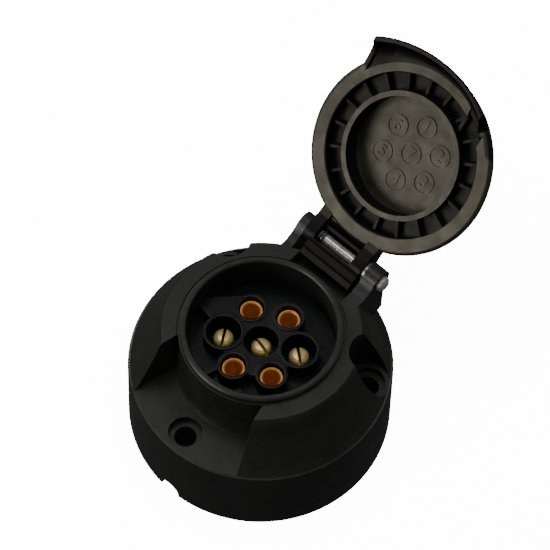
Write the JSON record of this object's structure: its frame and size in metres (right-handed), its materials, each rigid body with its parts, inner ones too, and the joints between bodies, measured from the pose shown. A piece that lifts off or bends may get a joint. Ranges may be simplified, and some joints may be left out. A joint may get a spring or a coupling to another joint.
{
  "type": "trailer wiring connector",
  "caption": "Round flanged trailer wiring socket with sleeve and pin contacts in a deep mouth and a hinged weather lid.",
  "frame": {"origin": "centre of the mounting face, on the socket's axis", "axes": "+Z out of the mouth, +Y towards the lid's hinge, X parallel to the hinge pin"},
  "size_m": [0.0792, 0.1198, 0.0991],
  "materials": {
    "housing_plastic": "satin moulded black",
    "insert_plastic": "satin moulded black",
    "plate_plastic": "satin moulded dark grey",
    "lid_plastic": "satin moulded black",
    "sleeve_copper": "bright, copper coloured",
    "pin_brass": "bright, lightly tarnished",
    "screw_steel": "plated",
    "pin_steel": "bright",
    "spring_steel": "bright drawn wire"
  },
  "bodies": {
    "socket": {"housing": "housing_plastic", "contact_insert": "insert_plastic", "retainer_plate": "plate_plastic", "contact_1": "sleeve_copper", "contact_2": "sleeve_copper", "contact_3": "pin_brass", "contact_4": "sleeve_copper", "contact_5": "sleeve_copper", "contact_6": "pin_brass", "contact_7": "pin_brass", "terminal_screw_1": "screw_steel", "terminal_screw_2": "screw_steel", "terminal_screw_3": "screw_steel", "terminal_screw_4": "screw_steel", "terminal_screw_5": "screw_steel", "terminal_screw_6": "screw_steel", "terminal_screw_7": "screw_steel", "insert_screws": "screw_steel", "hinge_pin": "pin_steel", "hinge_washers": "pin_steel", "lid_spring": "spring_steel"},
    "lid": {"lid": "lid_plastic"}
  },
  "joints": [
    {"name": "lid_hinge", "type": "hinge", "parent": "socket", "child": "lid", "pos_m": [0, 0.0347, 0.048], "axis": [1, 0, 0], "range_deg": [-4, 134]}
  ]
}
